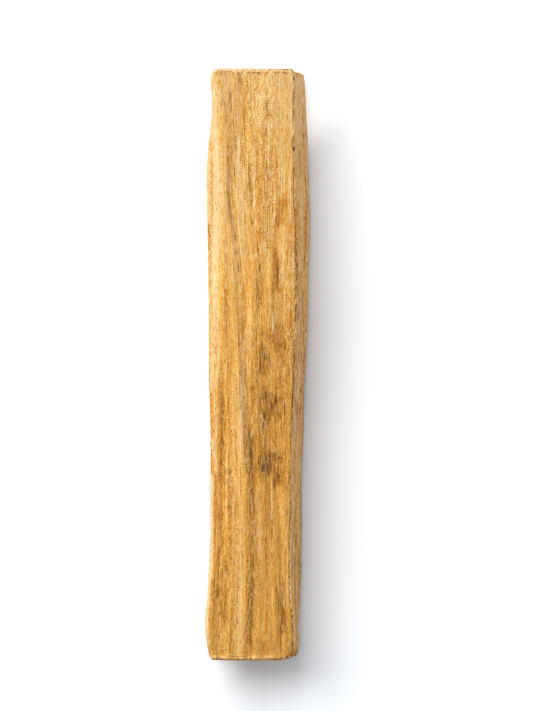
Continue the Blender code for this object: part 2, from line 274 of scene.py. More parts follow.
        (0.18, 0.8, (24.6, 3.2), (24, 3.1)),
        (0.15, 0.8, (6.4, 3.2), (5, 2.95)),
        (0.14, 0.8, (3, 3.1), (1.9, 3.1)),
        (0.22, 0.8, (3.8, 4.6), (3, 4.8)),
        (0.16, 0.7, (4.6, 2.3), (4, 2.2)),
        (0.15, 1.0, (8.6, 6.9), (7.7, 6.85)),
        (0.14, 0.8, (36, 7.1), (34.4, 7.1)),
        (0.13, 0.7, (33.6, 7.15), (32.4, 7.25)),
        (0.13, 0.7, (18.5, 8.0), (16.8, 8.05)),
        (0.13, 0.8, (12, 7.6), (8.5, 7.6)),
        (0.13, 0.7, (7, 7.4), (5, 7.4)),
        (0.13, 0.6, (3.5, 7.1), (1, 7.1)),
        (0.13, 0.5, (-6, 6.7), (-9, 6.7)),
        (0.13, 0.6, (-28, 6.6), (-31, 6.6)),
        (0.13, 0.6, (-32.4, 6.3), (-34, 6.3)),
    ),
    "rust": (
        (1.5, 0.50, (34, 2.1), (26, 2.2)),
        (0.8, 0.34, (34, -0.2), (20, 0.3)),
        (0.5, 0.9, (17.6, 3.2), (15.4, 3.4), (13.2, 3.2)),
        (0.9, 0.16, (-33, -5.2), (-47, -5.4)),
        (2.3, 0.38, (6, 2.6), (-20, 2.6)),
        (0.70, 1.0, (28, 4.6), (26.6, 4.0), (24.8, 3.45), (23, 3.1)),
        (0.40, 0.65, (23, 3.0), (20, 2.9), (18, 2.9), (16, 3.1), (13.5, 3.2)),
        (0.55, 0.7, (18, 2.9), (16, 3.1), (12.5, 3.3)),
        (0.30, 0.7, (25, 5.7), (20, 5.8), (15, 5.9)),
        (0.50, 0.8, (9, 5.6), (6, 5.5)),
        (0.35, 0.6, (21, -5.6), (15, -5.5), (6, -5.3), (0, -5.4)),
        (0.25, 0.6, (0, -4.9), (-8, -4.9)),
        (0.50, 0.45, (-3, -6.2), (-8, -6.1), (-14, -6.1), (-20, -6.0), (-27, -6.2), (-33, -6.6)),
        (0.13, 0.9, (-6, -7.3), (-11, -7.3)),
        (0.25, 0.7, (-18, -7.0), (-27, -7.1), (-34, -7.3), (-40, -7.4)),
        (0.90, 0.7, (5, 2), (3.5, 3.5), (2.8, 5)),
        (0.80, 0.5, (1.5, 1.2), (-1, 1.5)),
        (1.20, 0.5, (-5, 2.5), (-9, 2.5)),
        (0.80, 0.4, (-5, 4.2), (-9, 4.2)),
        (0.40, 0.6, (-14, 4.6), (-16, 4.4)),
        (0.30, 0.7, (-37, 4.3), (-38.5, 4.4)),
        (0.25, 0.8, (-41, 4.4), (-43.5, 4.6)),
        (0.40, 0.7, (-44, 3.8), (-48, 3.8)),
        (0.30, 0.6, (-41, 1.6), (-45, 1.4)),
        (0.30, 0.6, (-47, 0.8), (-49.5, 1.0)),
        (0.40, 0.7, (44, 1.6), (41.5, 1.5), (39, 1.3)),
        (0.50, 0.5, (38, 1.1), (34, 1.3), (30, 1.0), (26, 1.2)),
        (0.40, 0.5, (36, 2.4), (30, 2.5)),
        (0.16, 0.6, (45, -2.4), (40, -2.4)),
        (0.18, 0.6, (43, -4.1), (40, -4.1)),
        (0.12, 0.8, (8, -2.1), (6, -2.1)),
        (0.16, 0.6, (-1, 8.0), (-14, 7.55), (-27, 7.3)),
        (0.25, 0.7, (-15, -1.0), (-19, -0.9)),
        (0.22, 0.9, (-9.7, 1.15), (-10.6, 1.1)),
    ),
    "cream": (
        (0.65, 0.75, (47, -7.1), (42, -7.2), (36, -7.0)),
        (0.65, 0.9, (37, -6.9), (30, -6.9), (24, -7.0), (17, -7.1), (12, -7.3)),
        (0.80, 0.8, (24, -7.2), (14, -7.3)),
        (0.80, 0.58, (14, -7.3), (5, -7.4), (-4, -7.6)),
        (0.9, 0.25, (49, 4.4), (38, 4.4), (30, 4.6)),
        (0.25, 0.7, (-3, -2.8), (-14, -2.8)),
        (0.30, 0.5, (-9, -7.2), (-18, -7.0)),
        (0.45, 0.6, (49, -7.6), (44, -7.5), (38, -7.7)),
        (0.50, 0.3, (12, -7.8), (4, -7.8), (-2, -7.8)),
        (0.35, 0.7, (36, -8.2), (24, -8.3)),
        (0.14, 0.8, (-4, -7.8), (-5.5, -7.4), (-9, -7.2)),
        (0.30, 0.7, (-13, -7.6), (-16, -7.3)),
        (0.35, 0.9, (-19, -7.7), (-26, -7.8), (-33, -7.8), (-38, -8.3), (-44, -8.6), (-47, -8.5)),
        (0.30, 0.6, (38, -3.2), (30, -3.1), (25, -3.0)),
        (0.40, 0.35, (25, -2.6), (14, -2.3)),
        (0.20, 0.5, (34, -0.6), (27, -0.6)),
        (0.20, 0.4, (38, 0.4), (34, 0.4)),
        (0.40, 0.35, (12, -1.4), (5, -1.3), (2, -1.3)),
        (0.45, 0.6, (23, 4.4), (18, 4.4)),
        (0.35, 0.5, (18, 4.3), (14, 4.2)),
        (0.50, 0.30, (-24, 0.4), (-33, 0.4)),
        (0.50, 0.30, (-4, -4.0), (-20, -4.0)),
        (0.70, 0.40, (38, 3.9), (33, 4.1), (29, 4.0)),
        (0.13, 0.9, (31, 5.5), (28, 5.6)),
        (0.13, 0.9, (26, 5.5), (24.5, 5.6)),
        (0.60, 0.5, (48.5, 1.8), (45.5, 2.2)),
        (0.30, 0.3, (24, 1.9), (14, 1.9)),
        (0.16, 0.6, (-2, -2.7), (-12, -2.6)),
        (0.16, 0.5, (-1, -4.3), (-8, -4.2)),
        (0.25, 0.4, (-14, -5.2), (-27, -5.3)),
        (0.12, 0.7, (-19, -3.6), (-21, -3.55), (-23, -4.0), (-25.5, -4.15)),
        (0.60, 0.34, (-14, -2.8), (-38, -2.6)),
        (2.0, 0.22, (34, -4.1), (14, -4.0)),
        (1.1, 0.30, (4, -2.7), (-12, -2.9)),
        (1.1, 0.38, (-26, -2.9), (-49, -3.1)),
        (1.3, 0.38, (33, -2.6), (19, -2.4)),
        (1.0, 0.34, (33, -5.6), (18, -5.3)),
        (1.2, 0.28, (50, -5.2), (43, -5.2)),
        (0.7, 0.20, (38, -7.6), (14, -7.7)),
        (1.3, 0.22, (-22, 4.9), (-41, 4.9)),
        (4.0, 0.34, (50, 3.8), (40, 3.8)),
        (0.12, 0.6, (-20, 2.4), (-26, 2.4)),
        (0.12, 0.9, (-8.8, 0.6), (-10.2, 1.5)),
        (0.12, 0.8, (8, 2.6), (5.5, 2.65)),
        (0.16, 0.6, (11, -6.8), (5, -6.6), (0, -6.5)),
        (0.16, 0.9, (30.8, -4.6), (30.4, -4.6)),
        (0.16, 0.9, (18.2, -4.25), (17.8, -4.3)),
        (0.16, 1.0, (-11.5, -0.9), (-11.9, -1.0)),
        (0.16, 0.9, (-30.3, 4.8), (-30.8, 4.75)),
    ),
}

# How deep each kind of streak is pressed in, in millimetres; one below zero stands out
streakDepth = {
    "smoke": 0.02,
    "light": 0.0,
    "olive": 0.02,
    "umber": 0.045,
    "rust": 0.01,
    "cream": -0.02,
    "yellow": -0.01,
}


def deselectAll():
    bpy.ops.object.select_all(action="DESELECT")


def makeActive(piece):
    deselectAll()
    piece.select_set(True)
    bpy.context.view_layer.objects.active = piece


def applyAll(piece):
    makeActive(piece)
    for modifier in list(piece.modifiers):
        bpy.ops.object.modifier_apply(modifier=modifier.name)


def lineAt(run, along):
    # the place across of a line at each place along
    run = sorted(run)
    return np.interp(along, [place[0] for place in run], [place[1] for place in run])


def rise(values, low, high):
    # 0 at low, 1 at high and straight between them
    return np.clip((values - low) / (high - low), 0, 1)


def bell(values, middle, halfWidth):
    return np.exp(-((values - middle) / halfWidth) ** 2)


def woodBody():
    # a merged copy of the solid, remeshed finely across the grain and less so along it
    body = cadStick.copy()
    body.data = cadStick.data.copy()
    body.name = body.data.name = "wood_body"
    body.parent = None
    body.matrix_world.identity()
    bpy.context.scene.collection.objects.link(body)
    makeActive(body)
    stretch = stick["grainStretch"]
    bpy.ops.object.mode_set(mode="EDIT")
    bpy.ops.mesh.select_all(action="SELECT")
    bpy.ops.mesh.remove_doubles(threshold=stick["mergeWithin"] * mm)
    bpy.ops.transform.resize(value=(1, 1 / stretch, 1), center_override=(0, 0, 0))
    bpy.ops.object.mode_set(mode="OBJECT")
    remesh = body.modifiers.new("fineMesh", "REMESH")
    remesh.mode = "VOXEL"
    remesh.voxel_size = stick["voxel"] * mm
    applyAll(body)
    bpy.ops.object.mode_set(mode="EDIT")
    bpy.ops.mesh.select_all(action="SELECT")
    bpy.ops.transform.resize(value=(1, stretch, 1), center_override=(0, 0, 0))
    factor, repeat = stick["smoothing"]
    bpy.ops.mesh.vertices_smooth(factor=factor, repeat=repeat)
    for inwards in stick["rimCuts"]:
        for end in (-1, 1):
            bpy.ops.mesh.select_all(action="SELECT")
            along = end * (stick["halfLength"] - inwards)
            bpy.ops.mesh.bisect(plane_co=(0, along * mm, 0), plane_no=(0, 1, 0))
    bpy.ops.object.mode_set(mode="OBJECT")
    bpy.ops.object.shade_smooth()
    squareEnds(body)
    return body


def squareEnds(body):
    # the remesh rounds the two ends, so their last millimetres are drawn out again, most at the corners
    places = readPlaces(body)[0]
    for end, reach in ((-1, stick["nearReach"]), (1, stick["farReach"])):
        share = rise(end * places[:, 1], *stick["endSpan"]) ** 2
        places[:, 1] += end * share * lineAt(reach, places[:, 0])
    body.data.vertices.foreach_set("co", (places * mm).ravel())
    body.data.update()


def readPlaces(body):
    places = np.empty(len(body.data.vertices) * 3)
    body.data.vertices.foreach_get("co", places)
    normals = np.empty(len(body.data.vertices) * 3)
    body.data.vertices.foreach_get("normal", normals)
    return places.reshape(-1, 3) / mm, normals.reshape(-1, 3)


def seenFromAbove(places):
    # where each point appears on the top face's plane, in the photograph's millimetres
    reach = stick["cameraHeight"] / (stick["cameraHeight"] + stick["topLevel"] - places[:, 2])
    return places[:, 0] * reach - stick["photoShift"], places[:, 1] * reach


def followGrain(places, across, along):
    # a solid coordinate in which the grain runs straight
    lines = np.array([lineAt(run, along) for run in grainLines])
    straight = np.array([np.mean([place[1] for place in run]) for run in grainLines])
    shift = np.empty(len(across))
    for index in range(len(across)):
        shift[index] = np.interp(across[index], lines[:, index], straight - lines[:, index])
    grain = places.copy()
    grain[:, 0] += shift * np.clip(places[:, 2] / stick["topLevel"], 0, 1)
    return grain


# Where each look starts and where it is full; heights and places are in millimetres
paint = {
    "streakFade": 0.5,           # how far a streak fades past its ends
    "shown": (0.02, 0.12),       # how far up a face looks, for streaks
    "shadedSide": (0.4, 0.8),     # how far to the right it looks, for the painted cool shade of the right side and its stronger grain lines
    "sawnEnd": (0.55, 0.80),     # how far along the grain it looks
    "worn": (0.97, 0.85),        # the largest part of its direction: flat faces first, then edges
    "wornAcross": (-1.0, 3.0),   # edges wear least to the left of these places, and fully to the right
    "leastWear": 0.3,
    "burrUp": (10.5, 11.5),
    "burrAlong": (49.75, 0.3),   # the middle of the burr and its half width
    "rimUp": (10.0, 11.5),
}


def streakMask(kind, across, along):
    mask = np.zeros(len(across))
    fade = paint["streakFade"]
    for halfWidth, strength, *run in streaks[kind]:
        low, high = min(run)[0], max(run)[0]
        near = np.where((along > low - 3 * fade) & (along < high + 3 * fade))[0]
        off = (across[near] - lineAt(run, along[near])) / halfWidth
        beyond = np.maximum(0, np.maximum(low - along[near], along[near] - high)) / fade
        mask[near] = np.maximum(mask[near], strength * np.exp(-off ** 2 - beyond ** 2))
    return mask


def paintGrain(body):
    places, normals = readPlaces(body)
    across, along = seenFromAbove(places)
    grain = followGrain(places, across, along)
    shown = rise(normals[:, 2], *paint["shown"])
    masks = {kind: streakMask(kind, across, along) * shown for kind in streaks}
    markRims(masks, places)
    body.data.attributes.new("grain", "FLOAT_VECTOR", "POINT").data.foreach_set("vector", grain.ravel())
    for kind, mask in masks.items():
        storeValue(body, kind, mask)
    storeValue(body, "groove", sum(streakDepth[kind] * masks[kind] for kind in streaks))
    storeValue(body, "shadedSide", rise(normals[:, 0], *paint["shadedSide"]))
    worn = rise(np.abs(normals).max(axis=1), *paint["worn"])
    wear = np.maximum(paint["leastWear"], rise(places[:, 0], *paint["wornAcross"]))
    storeValue(body, "edge", worn * wear)
    storeValue(body, "sawnEnd", rise(np.abs(normals[:, 1]), *paint["sawnEnd"]))
    high = rise(places[:, 2], *paint["burrUp"])
    storeValue(body, "burr", high * bell(np.abs(places[:, 1]), *paint["burrAlong"]))


def storeValue(body, name, values):
    body.data.attributes.new(name, "FLOAT", "POINT").data.foreach_set("value", values)


# Marks along the rims: at the far one a pale burr with a painted highlight on it, and dark patches that are
# painted shadow below its lumps; at the near one pale bits over a dark line that is painted shade where the
# end turns away from the light. Each is its kind, strength, place along, half width and the waves that break
# it up.
rimMarks = (
    ("cream", 1.8, 49.72, 0.24, "ragged"),
    ("umber", 0.9, 49.2, 0.26, "patchy"),
    ("light", 1.3, -49.4, 0.36, "torn"),
    ("cream", 1.1, -49.5, 0.24, "torn"),
    ("umber", 1.3, -50.0, 0.20, "even"),
)

# Waves across the stick: level and swing, how fast and from where the two that multiply run, how fast and how
# strong the one that adds to them is, and the least that they leave
rimWaves = {
    "ragged": (0.75, 0.25, (5.1, 0.0), (2.3, 1.0), (0.0, 0.0), 0.0),
    "patchy": (0.35, 1.0, (2.9, 0.6), (1.3, 2.0), (9.0, 0.3), 0.0),
    "torn": (0.5, 0.7, (1.7, 0.4), (4.3, 1.2), (0.0, 0.0), 0.1),
    "even": (1.0, 0.0, (0.0, 0.0), (0.0, 0.0), (0.0, 0.0), 0.0),
}


def wavesAcross(x, level, swing, first, second, added, least):
    product = np.sin(first[0] * x + first[1]) * np.sin(second[0] * x + second[1])
    return np.clip(level + swing * product + added[1] * np.sin(added[0] * x), least, 1)


def markRims(masks, places):
    x, y, z = places.T
    high = rise(z, *paint["rimUp"])
    for kind, strength, middle, halfWidth, waves in rimMarks:
        mark = strength * high * wavesAcross(x, *rimWaves[waves]) * bell(y, middle, halfWidth)
        masks[kind] = np.maximum(masks[kind], mark)


# Node helpers, used by the relief and by the materials
def wire(tree, source, socket):
    if isinstance(source, bpy.types.NodeSocket):
        tree.links.new(source, socket)
    else:
        socket.default_value = source


def calc(tree, operation, first, second=0.0, third=0.0):
    made = tree.nodes.new("ShaderNodeMath")
    made.operation = operation
    for source, socket in zip((first, second, third), made.inputs):
        wire(tree, source, socket)
    return made.outputs[0]


def remap(tree, value, low, high, toLow=0.0, toHigh=1.0):
    made = tree.nodes.new("ShaderNodeMapRange")
    for source, socket in zip((value, low, high, toLow, toHigh), made.inputs):
        wire(tree, source, socket)
    return made.outputs[0]


def stretched(tree, place, across, along, offset=0.0):
    # millimetres of grain to a pattern's own units
    scaled = tree.nodes.new("ShaderNodeVectorMath")
    scaled.operation = "MULTIPLY_ADD"
    wire(tree, place, scaled.inputs[0])
    scaled.inputs[1].default_value = (1 / across, 1 / along, 1 / across)
    scaled.inputs[2].default_value = (offset, offset, offset)
    return scaled.outputs[0]


def noiseAlong(tree, place, across, along, offset=0.0, detail=2.0, roughness=0.5):
    made = tree.nodes.new("ShaderNodeTexNoise")
    wire(tree, stretched(tree, place, across, along, offset), made.inputs["Vector"])
    made.inputs["Scale"].default_value = 1.0
    made.inputs["Detail"].default_value = detail
    made.inputs["Roughness"].default_value = roughness
    return made.outputs[0]


def cellsAlong(tree, place, across, along, offset=0.0):
    made = tree.nodes.new("ShaderNodeTexVoronoi")
    wire(tree, stretched(tree, place, across, along, offset), made.inputs["Vector"])
    made.inputs["Scale"].default_value = 1.0
    return made


def centred(tree, pattern):
    # a pattern from 0 to 1 as one about zero
    return calc(tree, "SUBTRACT", pattern, 0.5)


# Patterns of the relief: size across and along the grain in millimetres, offset, detail and roughness
reliefNoises = {
    "broad": (1.7, 50, 3.1, 1.0),
    "fine": (0.75, 30, 7.7, 2.0),
    "notches": (0.36, 0.7, 61.0, 2.0, 0.6),
    "lumps": (0.42, 0.42, 23.0, 2.0, 0.6),
}
reliefCells = {
    "bundles": (0.5, 24, 1.3),
    "pores": (0.55, 1.6, 9.1),
}

# The values between which something grows from 0 to 1, or from the third number to the fourth
reliefRanges = {
    "bundles": (0.0, 1.0),
    "pores": (0.32, 0.12),
    "chosenPores": (0.62, 0.7),
    "notches": (0.40, 0.62, -0.3, 1.0),
    "lumps": (0.35, 0.65, -0.6, 1.0),
    "side": (0.75, 0.35),                 # none on the sawn ends
    "below": (-0.8, -0.4, 0.25, 1.0),     # and less on the underside
}


def readNamed(tree, name, kind="FLOAT"):
    made = tree.nodes.new("GeometryNodeInputNamedAttribute")
    made.data_type = kind
    made.inputs[0].default_value = name
    return made.outputs[0]


def raiseRelief(body):
    # ridges, bundles of fibres and pores along the grain, as one modifier that is then applied
    tree = bpy.data.node_groups.new("grainRelief", "GeometryNodeTree")
    tree.interface.new_socket("Geometry", in_out="INPUT", socket_type="NodeSocketGeometry")
    tree.interface.new_socket("Geometry", in_out="OUTPUT", socket_type="NodeSocketGeometry")
    start, end = tree.nodes.new("NodeGroupInput"), tree.nodes.new("NodeGroupOutput")
    place = readNamed(tree, "grain", "FLOAT_VECTOR")
    noises = {name: noiseAlong(tree, place, *values) for name, values in reliefNoises.items()}
    cells = {name: cellsAlong(tree, place, *values) for name, values in reliefCells.items()}
    step = centred(tree, remap(tree, cells["bundles"].outputs["Color"], *reliefRanges["bundles"]))
    pore = remap(tree, cells["pores"].outputs["Distance"], *reliefRanges["pores"])
    chosen = remap(tree, cells["pores"].outputs["Color"], *reliefRanges["chosenPores"])
    height = calc(tree, "MULTIPLY", centred(tree, noises["broad"]), 2 * stick["broadRidge"])
    height = calc(tree, "MULTIPLY_ADD", centred(tree, noises["fine"]), 2 * stick["fineRidge"], height)
    height = calc(tree, "MULTIPLY_ADD", step, stick["bundleStep"], height)
    height = calc(tree, "MULTIPLY_ADD", calc(tree, "MULTIPLY", pore, chosen), -stick["poreDepth"], height)
    height = calc(tree, "SUBTRACT", height, readNamed(tree, "groove"))
    notches = remap(tree, noises["notches"], *reliefRanges["notches"])
    worn = calc(tree, "MULTIPLY", calc(tree, "MULTIPLY", readNamed(tree, "edge"), notches), stick["edgeWear"])
    normal = tree.nodes.new("GeometryNodeInputNormal")
    split = tree.nodes.new("ShaderNodeSeparateXYZ")
    wire(tree, normal.outputs[0], split.inputs[0])
    side = remap(tree, calc(tree, "ABSOLUTE", split.outputs[1]), *reliefRanges["side"])
    below = remap(tree, split.outputs[2], *reliefRanges["below"])
    height = calc(tree, "MULTIPLY", height, calc(tree, "MULTIPLY", side, below))
    height = calc(tree, "SUBTRACT", height, worn)
    lumps = remap(tree, noises["lumps"], *reliefRanges["lumps"])
    lumps = calc(tree, "MULTIPLY", readNamed(tree, "burr"), lumps)
    height = calc(tree, "MULTIPLY_ADD", lumps, stick["burr"], height)
    keep = tree.nodes.new("GeometryNodeStoreNamedAttribute")
    keep.inputs["Name"].default_value = "relief"
    tree.links.new(start.outputs[0], keep.inputs["Geometry"])
    wire(tree, height, keep.inputs["Value"])
    offset = tree.nodes.new("ShaderNodeVectorMath")
    offset.operation = "SCALE"
    wire(tree, normal.outputs[0], offset.inputs[0])
    wire(tree, calc(tree, "MULTIPLY", height, mm), offset.inputs["Scale"])
    move = tree.nodes.new("GeometryNodeSetPosition")
    tree.links.new(keep.outputs[0], move.inputs["Geometry"])
    wire(tree, offset.outputs[0], move.inputs["Offset"])
    tree.links.new(move.outputs[0], end.inputs[0])
    modifier = body.modifiers.new("grainRelief", "NODES")
    modifier.node_group = tree
    applyAll(body)
    bpy.data.node_groups.remove(tree)


def keepInsideBox(piece):
    # no point may pass the solid's own box
    places = np.empty(len(piece.data.vertices) * 3)
    piece.data.vertices.foreach_get("co", places)
    low, high = (np.array(corner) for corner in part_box("palo_santo_stick"))
    places = np.clip(places.reshape(-1, 3), low, high)
    piece.data.vertices.foreach_set("co", places.ravel())
    piece.data.update()


# The wood's colours from dark to pale, as linear red, green and blue
woodColours = {
    "umber": (0.18, 0.056, 0.006),
    "brown": (0.39, 0.152, 0.017),
    "tan": (0.55, 0.262, 0.042),
    "gold": (0.64, 0.350, 0.088),
    "pale": (0.73, 0.472, 0.182),
    "cream": (0.80, 0.59, 0.31),
    "sawn": (0.46, 0.24, 0.060),
}

# Where each colour stands on the scale of tones
woodStops = {"umber": 0.0, "brown": 0.22, "tan": 0.45, "gold": 0.65, "pale": 0.84, "cream": 1.0}

# What each kind of streak multiplies the wood's colour by, and how ragged its edges are; cream is mixed in
streakTints = {
    "smoke": ((0.44, 0.45, 0.44), 0.5),
    # light: painted light on groove walls in shade, and paler wood
    "light": ((1.44, 1.43, 1.40), 0.3),
    "yellow": ((1.12, 1.09, 0.78), 0.5),
    "rust": ((0.84, 0.66, 0.42), 0.7),
    "olive": ((0.68, 0.62, 0.44), 0.55),
    "umber": ((0.64, 0.54, 0.42), 1.0),
}

# How much each pattern of the grain counts, its size across and along the grain, its detail and roughness
grainLayers = {
    "bands": (0.25, 1.2, 45.0, 2.0, 0.6),
    "strands": (0.26, 0.50, 45.0, 2.0, 0.7),
    "lines": (0.80, 0.125, 34.0, 1.0, 0.5),
    "flecks": (0.66, 0.16, 1.5, 1.0, 0.6),
    "fuzz": (0.95, 0.19, 0.20, 1.0, 0.5),
}

# Other patterns: size across and along the grain in millimetres, offset, detail and roughness
woodNoises = {
    "chips": (0.28, 0.55, 71.0, 1.0),
    "hue": (1.0, 28.0, 57.0, 1.0),
    "threads": (0.6, 9.0, 11.0, 1.0),
    "gaps": (0.5, 1.0, 41.0, 1.0),
    "ringBend": (3.0, 3.0, 8.0, 1.0),
    "ringShade": (1.9, 1.0, 3.0, 1.0),
    "stain": (6.0, 6.0, 13.0, 2.0),
    "scratches": (0.16, 9.0, 31.0, 1.0),
}
woodCells = {
    "pores": (0.32, 0.75, 9.1),
    "vessels": (0.50, 1.0, 2.2),
}

# The values between which something grows from 0 to 1, or from the third number to the fourth
woodRanges = {
    "contrast": (-40.0, 35.0, 0.75, 1.08),    # by the place along, as is the tone
    "tone": (-45.0, 42.0, 0.385, 0.63),
    "chips": (0.36, 0.64, -0.45, 0.40),
    "hue": (0.36, 0.64),
    "yellower": (-18.0, -46.0),
    "raggedness": (0.02, 0.35),
    "streaks": (0.06, 0.70),
    "cream": (0.1, 0.9, 0.0, 0.70),
    # the painted cool shade of the right side: how it changes along, and how much less of it the worn edges
    # get
    "sideShadeAlong": (15.0, -25.0),
    "sideShadeEdge": (0.0, 1.0, 1.0, 0.4),
    "gaps": (0.40, 0.55),
    "pores": (0.40, 0.15),
    "chosenPores": (0.66, 0.70),
    "creamPores": (0.0, 0.8, 1.0, 0.2),
    "threadsAlong": (-35.0, 20.0),
    "roughness": (-0.3, 0.3, 0.70, 0.90),
    "stain": (0.52, 0.68, 0.0, 0.5),
    "vessels": (0.34, 0.16, 0.0, 0.75),
    "scratches": (0.50, 0.70, 0.0, 0.55),
}

# Pairs of tints that multiply the colour
woodTints = {
    "hue": ((1.01, 1.01, 0.84), (0.99, 0.985, 1.10)),
    "yellower": ((1.0, 1.0, 1.0), (0.98, 1.05, 1.20)),
    # painted cool shade light on the shaded right side: lighter and bluer, most towards the near end
    "sideShade": ((1.23, 1.19, 1.43), (1.30, 1.44, 2.55)),
    "rings": ((0.60, 0.50, 0.38), (1.04, 1.00, 0.90)),
}

# How the patterns lie, and how much each adds
woodLook = {
    "turn": 0.55,                     # radians about the grain
    "wandering": (0.10, 1.5, 14.0),   # how far the grain bends, and how long the bends are across and along
    "wanderingOffset": 17.0,
    "layerOffsets": (5.3, 7.7),       # the first, and the step to the next
    "sideLines": 1.3,
    "sideLineTone": 0.55,
    "raggedFlecks": 1.3,
    "raggedFuzz": 0.8,
    "raggedCream": 0.5,
    "poreShade": 0.36,
    "threadWidth": 0.05,
    "threadShade": 0.5,
    "threadHeight": 0.35,
    "poreHeight": -0.45,
    "bump": 0.08,                     # millimetres
    "specular": 0.2,
}

# The sawn ends
sawnLook = {
    "heart": (22.0, 30.0),            # how far the rings' middle lies to the left and below
    "ringBend": 1.6,
    "ringTurns": 4.2,                 # radians a millimetre
    "ringWave": 0.20,
    "ringShade": 2.2,
    "ownColour": 0.25,
    "sawSlant": 0.25,
}


def mixed(tree, share, first, second, blend="MIX"):
    made = tree.nodes.new("ShaderNodeMix")
    made.data_type = "RGBA"
    made.blend_type = blend
    made.clamp_factor = True
    wire(tree, share, made.inputs[0])
    for source, socket in ((first, made.inputs[6]), (second, made.inputs[7])):
        wire(tree, source if isinstance(source, bpy.types.NodeSocket) else (*source, 1.0), socket)
    return made.outputs[2]


def ramped(tree, value, stops):
    made = tree.nodes.new("ShaderNodeValToRGB")
    wire(tree, value, made.inputs[0])
    ramp = made.color_ramp
    while len(ramp.elements) < len(stops):
        ramp.elements.new(0.5)
    for element, (position, colour) in zip(ramp.elements, stops):
        element.position = position
        element.color = (*colour, 1.0)
    return made.outputs[0]


def readAttribute(tree, name):
    made = tree.nodes.new("ShaderNodeAttribute")
    made.attribute_name = name
    return made


def wandering(tree, place, reach, across, along):
    # bends the grain a little from side to side
    made = tree.nodes.new("ShaderNodeTexNoise")
    shifted = stretched(tree, place, across, along, woodLook["wanderingOffset"])
    wire(tree, shifted, made.inputs["Vector"])
    made.inputs["Scale"].default_value = 1.0
    made.inputs["Detail"].default_value = 1.0
    bend = tree.nodes.new("ShaderNodeVectorMath")
    bend.operation = "MULTIPLY_ADD"
    wire(tree, made.outputs["Color"], bend.inputs[0])
    bend.inputs[1].default_value = (2 * reach, 0.0, 2 * reach)
    bend.inputs[2].default_value = (-reach, 0.0, -reach)
    moved = tree.nodes.new("ShaderNodeVectorMath")
    wire(tree, bend.outputs[0], moved.inputs[0])
    wire(tree, place, moved.inputs[1])
    return moved.outputs[0]


def combined(tree, *sources):
    made = tree.nodes.new("ShaderNodeCombineXYZ")
    for source, socket in zip(sources, made.inputs):
        wire(tree, source, socket)
    return made.outputs[0]


def multiplied(tree, colour, tint):
    return mixed(tree, 1.0, colour, tint, "MULTIPLY")


def threadLines(tree, place):
    # thin long lines where a stretched noise crosses its middle value
    off = calc(tree, "ABSOLUTE", centred(tree, noiseAlong(tree, place, *woodNoises["threads"])))
    return remap(tree, off, woodLook["threadWidth"], 0.0)


def sawnColour(tree, colour, parts):
    # darker wood with growth rings round a heart far below, vessels as dark dots, and marks of the saw
    x, z = parts.outputs[0], parts.outputs[2]
    left, below = sawnLook["heart"]
    across = calc(tree, "ADD", x, left)
    down = calc(tree, "ADD", z, below)
    squares = calc(tree, "MULTIPLY_ADD", across, across, calc(tree, "MULTIPLY", down, down))
    face = combined(tree, x, 0.0, z)
    bend = noiseAlong(tree, face, *woodNoises["ringBend"])
    reach = calc(tree, "MULTIPLY_ADD", bend, sawnLook["ringBend"], calc(tree, "SQRT", squares))
    wave = calc(tree, "SINE", calc(tree, "MULTIPLY", reach, sawnLook["ringTurns"]))
    wave = calc(tree, "MULTIPLY_ADD", wave, sawnLook["ringWave"], 0.5)
    shade = centred(tree, noiseAlong(tree, combined(tree, reach), *woodNoises["ringShade"]))
    ringTone = calc(tree, "MULTIPLY_ADD", shade, sawnLook["ringShade"], wave)
    ringed = multiplied(tree, colour, mixed(tree, ringTone, *woodTints["rings"]))
    sawn = mixed(tree, sawnLook["ownColour"], ringed, woodColours["sawn"])
    stain = remap(tree, noiseAlong(tree, face, *woodNoises["stain"]), *woodRanges["stain"])
    sawn = mixed(tree, stain, sawn, woodColours["brown"])
    dots = cellsAlong(tree, face, *woodCells["vessels"])
    dots = remap(tree, dots.outputs["Distance"], *woodRanges["vessels"])
    sawn = mixed(tree, dots, sawn, woodColours["umber"])
    marks = combined(tree, calc(tree, "MULTIPLY_ADD", x, sawnLook["sawSlant"], z), x)
    scratches = remap(tree, noiseAlong(tree, marks, *woodNoises["scratches"]), *woodRanges["scratches"])
    return mixed(tree, scratches, sawn, woodColours["pale"])


def grainTone(tree, place, along, edge, shadedSide):
    # the layers of grain, and from them how light the wood is and how high
    first, step = woodLook["layerOffsets"]
    layers = {}
    tone, height = 0.0, 0.0
    for index, (name, (weight, across, lengthwise, detail, roughness)) in enumerate(grainLayers.items()):
        pattern = noiseAlong(tree, place, across, lengthwise, first + step * index, detail, roughness)
        layers[name] = centred(tree, pattern)
        tone = calc(tree, "MULTIPLY_ADD", layers[name], weight, tone)
        if name != "bands":
            height = calc(tree, "MULTIPLY_ADD", layers[name], weight, height)
    # the relief's height is added to the tone: ridges and burr lumps paler, hollows, pores and worn notches
    # darker, painted light and shade that follow the relief
    tone = calc(tree, "ADD", tone, readAttribute(tree, "relief").outputs["Fac"])
    tone = calc(tree, "MULTIPLY", tone, remap(tree, along, *woodRanges["contrast"]))
    tone = calc(tree, "ADD", tone, remap(tree, along, *woodRanges["tone"]))
    chips = remap(tree, noiseAlong(tree, place, *woodNoises["chips"]), *woodRanges["chips"])
    tone = calc(tree, "MULTIPLY_ADD", edge, chips, tone)
    rougher = calc(tree, "MULTIPLY_ADD", layers["lines"], woodLook["sideLines"], layers["flecks"])
    rougher = calc(tree, "MULTIPLY", shadedSide, rougher)
    return layers, calc(tree, "MULTIPLY_ADD", rougher, woodLook["sideLineTone"], tone), height


